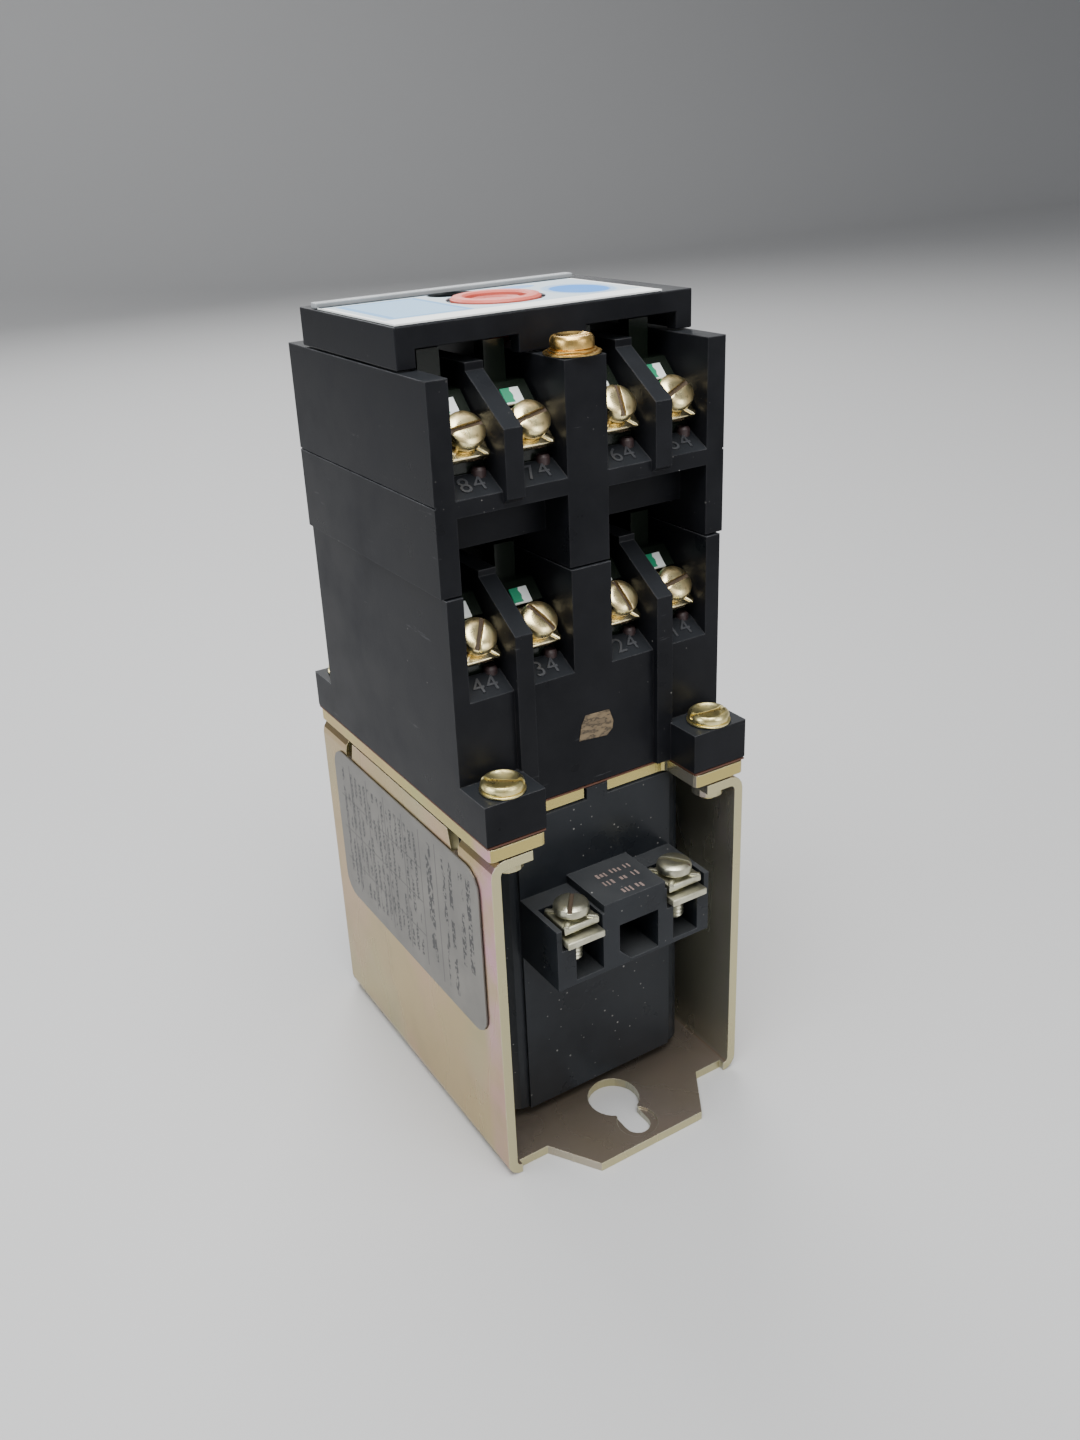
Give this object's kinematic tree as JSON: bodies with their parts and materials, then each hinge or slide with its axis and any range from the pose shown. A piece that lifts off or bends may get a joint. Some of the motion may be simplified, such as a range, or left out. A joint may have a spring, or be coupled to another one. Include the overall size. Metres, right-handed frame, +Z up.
{
  "type": "industrial control relay",
  "caption": "Open-frame control relay: a coil in a folded steel yoke with keyhole feet, stacked contact decks with screw terminals above, and a cap with an operator button.",
  "frame": {"origin": "on the underside of the mounting base, at the middle of the footprint", "axes": "+Z up from the base to the operator ring, -Y the side with the coil terminals, +X to the right when facing that side"},
  "size_m": [0.054, 0.0824, 0.148],
  "materials": {
    "yellow_zinc_sheet": "satin yellow zinc plate",
    "yellow_zinc": "bright yellow zinc plate",
    "bright_steel": "ground",
    "pale_brass": "satin",
    "nickel": "satin",
    "copper": "enamelled wire",
    "black_phenolic": "moulded, slightly worn",
    "coil_black": "moulded, semi-gloss",
    "natural_nylon": "moulded",
    "smoke_green": "smoky translucent",
    "fish_paper": "smooth",
    "white_vinyl": "printed",
    "grey_plastic": "moulded",
    "silver_foil": "printed foil",
    "red_nylon": "moulded"
  },
  "bodies": {
    "frame": {"yoke_frame": "yellow_zinc_sheet", "top_plate": "yellow_zinc_sheet", "insulating_sheet": "fish_paper", "coil_case": "coil_black", "coil_terminal_left": "nickel", "coil_terminal_right": "nickel", "coil_spool": "natural_nylon", "coil_winding": "copper", "fixed_core": "bright_steel", "return_spring": "bright_steel", "deck_a_housing": "black_phenolic", "deck_b_housing": "black_phenolic", "rating_label": "silver_foil", "stack_screw_front": "yellow_zinc", "stack_screw_rear": "yellow_zinc", "mounting_screw_front_left": "yellow_zinc", "mounting_screw_front_right": "yellow_zinc", "mounting_screw_rear_left": "yellow_zinc", "mounting_screw_rear_right": "yellow_zinc", "cartridge_a1": "smoke_green", "terminal_a1_front": "pale_brass", "terminal_a1_rear": "pale_brass", "cartridge_a2": "smoke_green", "terminal_a2_front": "pale_brass", "terminal_a2_rear": "pale_brass", "cartridge_a3": "smoke_green", "terminal_a3_front": "pale_brass", "terminal_a3_rear": "pale_brass", "cartridge_a4": "smoke_green", "terminal_a4_front": "pale_brass", "terminal_a4_rear": "pale_brass", "cartridge_b1": "smoke_green", "terminal_b1_front": "pale_brass", "terminal_b1_rear": "pale_brass", "cartridge_b2": "smoke_green", "terminal_b2_front": "pale_brass", "terminal_b2_rear": "pale_brass", "cartridge_b3": "smoke_green", "terminal_b3_front": "pale_brass", "terminal_b3_rear": "pale_brass", "cartridge_b4": "smoke_green", "terminal_b4_front": "pale_brass", "terminal_b4_rear": "pale_brass"},
    "moving_group": {"armature": "bright_steel", "drive_rod": "natural_nylon", "crossbar_a": "natural_nylon", "crossbar_b": "natural_nylon", "operator_button": "red_nylon", "contact_bridge_a1": "pale_brass", "contact_bridge_a2": "pale_brass", "contact_bridge_a3": "pale_brass", "contact_bridge_a4": "pale_brass", "contact_bridge_b1": "pale_brass", "contact_bridge_b2": "pale_brass", "contact_bridge_b3": "pale_brass", "contact_bridge_b4": "pale_brass"},
    "cap": {"top_cover": "black_phenolic", "face_label": "white_vinyl", "label_lip": "grey_plastic", "operator_ring": "red_nylon"}
  },
  "joints": [
    {"name": "armature_pull_in", "type": "slide", "parent": "frame", "child": "moving_group", "axis": [0, 0, -1], "range_m": [0, 0.0045], "stiffness_N_per_m": 400, "springref_m": -0.004, "deforming": ["return_spring"]},
    {"name": "cap_lift", "type": "slide", "parent": "frame", "child": "cap", "axis": [0, 0, 1], "range_m": [0, 0.012]}
  ]
}
